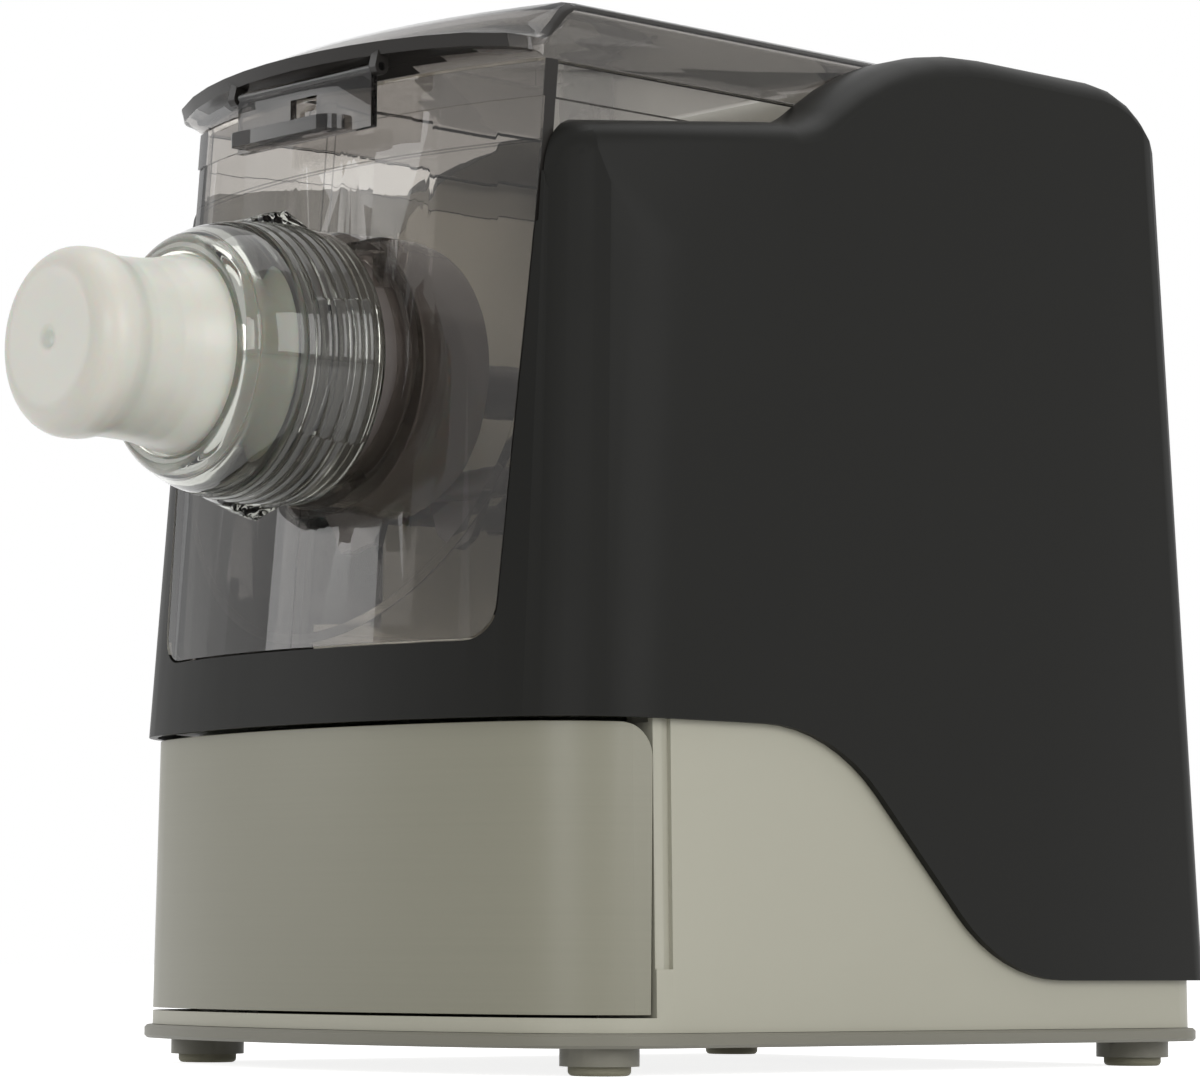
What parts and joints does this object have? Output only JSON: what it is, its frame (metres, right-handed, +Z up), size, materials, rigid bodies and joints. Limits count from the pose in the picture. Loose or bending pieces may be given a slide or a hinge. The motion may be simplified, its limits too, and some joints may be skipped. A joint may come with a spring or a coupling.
{
  "type": "electric pasta maker",
  "caption": "Electric pasta maker: a clear mixing tub with a hinged lid over a screw extruder with a die cap and ring nut, on a drive housing with a storage drawer.",
  "frame": {"origin": "middle of the footprint on the surface that the feet stand on", "axes": "+Z up, -Y towards the die at the front, +X to the right seen from the front"},
  "size_m": [0.2162, 0.3611, 0.3034],
  "materials": {
    "plate_cream": "satin",
    "pad_rubber": "matt",
    "steel": "brushed",
    "base_cream": "fine texture",
    "inner_grey": "matt",
    "drawer_grey": "satin",
    "tray_grey": "matt",
    "housing_black": "fine texture",
    "inlet_black": "matt",
    "contact_brass": "polished",
    "panel_black": "gloss",
    "lens_clear": "clear gloss",
    "button_grey": "satin",
    "board_green": "matt",
    "tub_smoke": "smoky clear",
    "seal_rubber": "matt",
    "bearing_bronze": "sintered",
    "gear_nylon": "matt",
    "gear_steel": "ground",
    "motor_can": "satin",
    "fan_black": "matt",
    "screw_dark": "satin",
    "barrel_smoke": "smoky clear",
    "seal_pale": "silicone",
    "die_white": "milky",
    "nut_clear": "clear"
  },
  "bodies": {
    "machine": {"base_plate": "plate_cream", "foot_pads": "pad_rubber", "base_screws": "steel", "base_housing": "base_cream", "drawer_rails": "inner_grey", "inner_frame": "inner_grey", "upper_housing": "housing_black", "rear_cover": "housing_black", "cover_screws": "steel", "mains_inlet": "inlet_black", "inlet_pins": "contact_brass", "control_panel": "panel_black", "display_lens": "lens_clear", "button_switches": "inlet_black", "control_board": "board_green", "power_board": "board_green", "mixing_tub": "tub_smoke", "front_panel": "tub_smoke", "lid_hinge_bracket": "housing_black", "lid_hinge_pins": "steel", "shaft_seal": "seal_rubber", "shaft_bearings": "bearing_bronze", "idler_pin": "steel", "motor": "motor_can", "motor_screws": "steel", "gearbox_cover": "inner_grey", "extruder_barrel": "barrel_smoke", "chassis_screws": "steel"},
    "lid": {"lid": "tub_smoke"},
    "latch": {"lid_latch": "tub_smoke"},
    "drawer": {"drawer_front": "drawer_grey", "drawer_tray": "tray_grey", "drawer_screws": "steel"},
    "die": {"die_cap": "die_white", "die_seal": "seal_pale"},
    "nut": {"locking_nut": "nut_clear"},
    "drive": {"drive_shaft": "steel", "drive_gear": "gear_nylon", "auger": "screw_dark", "mixing_paddle": "screw_dark"},
    "idler": {"idler_gear": "gear_nylon"},
    "rotor": {"motor_pinion": "gear_steel", "cooling_fan": "fan_black"},
    "start_key": {"start_button": "button_grey"},
    "select_key": {"select_button": "button_grey"},
    "time_key": {"time_button": "button_grey"}
  },
  "joints": [
    {"name": "lid_hinge", "type": "hinge", "parent": "machine", "child": "lid", "pos_m": [0, 0.0688, 0.2915], "axis": [-1, 0, 0], "range_deg": [0, 80]},
    {"name": "latch_pivot", "type": "hinge", "parent": "lid", "child": "latch", "pos_m": [0, -0.09165, 0.2826], "axis": [-1, 0, 0], "range_deg": [0, 12], "stiffness_Nm_per_rad": 0.06},
    {"name": "drawer_slide", "type": "slide", "parent": "machine", "child": "drawer", "axis": [0, -1, 0], "range_m": [0, 0.13]},
    {"name": "die_travel", "type": "slide", "parent": "machine", "child": "die", "axis": [0, -1, 0], "range_m": [0, 0.0166]},
    {"name": "nut_turn", "type": "hinge", "parent": "die", "child": "nut", "pos_m": [0, -0.1162, 0.1995], "axis": [0, -1, 0], "range_deg": [0, 1980]},
    {"name": "shaft_turn", "type": "hinge", "parent": "machine", "child": "drive", "pos_m": [0, 0, 0.1995], "axis": [0, -1, 0], "continuous": true},
    {"name": "idler_turn", "type": "hinge", "parent": "machine", "child": "idler", "pos_m": [0, 0.0838, 0.1395], "axis": [0, -1, 0], "continuous": true},
    {"name": "rotor_turn", "type": "hinge", "parent": "machine", "child": "rotor", "pos_m": [0, 0.0938, 0.102], "axis": [0, -1, 0], "continuous": true},
    {"name": "start_press", "type": "slide", "parent": "machine", "child": "start_key", "axis": [0, 0, -1], "range_m": [0, 0.0012], "stiffness_N_per_m": 300},
    {"name": "select_press", "type": "slide", "parent": "machine", "child": "select_key", "axis": [0, 0, -1], "range_m": [0, 0.0012], "stiffness_N_per_m": 300},
    {"name": "time_press", "type": "slide", "parent": "machine", "child": "time_key", "axis": [0, 0, -1], "range_m": [0, 0.0012], "stiffness_N_per_m": 300}
  ],
  "couplings": [
    {"joint": "die_travel", "follows": "nut_turn", "m_per_rad": 0.00047746},
    {"joint": "idler_turn", "follows": "shaft_turn", "ratio": -4.7143},
    {"joint": "rotor_turn", "follows": "shaft_turn", "ratio": 18.857}
  ]
}
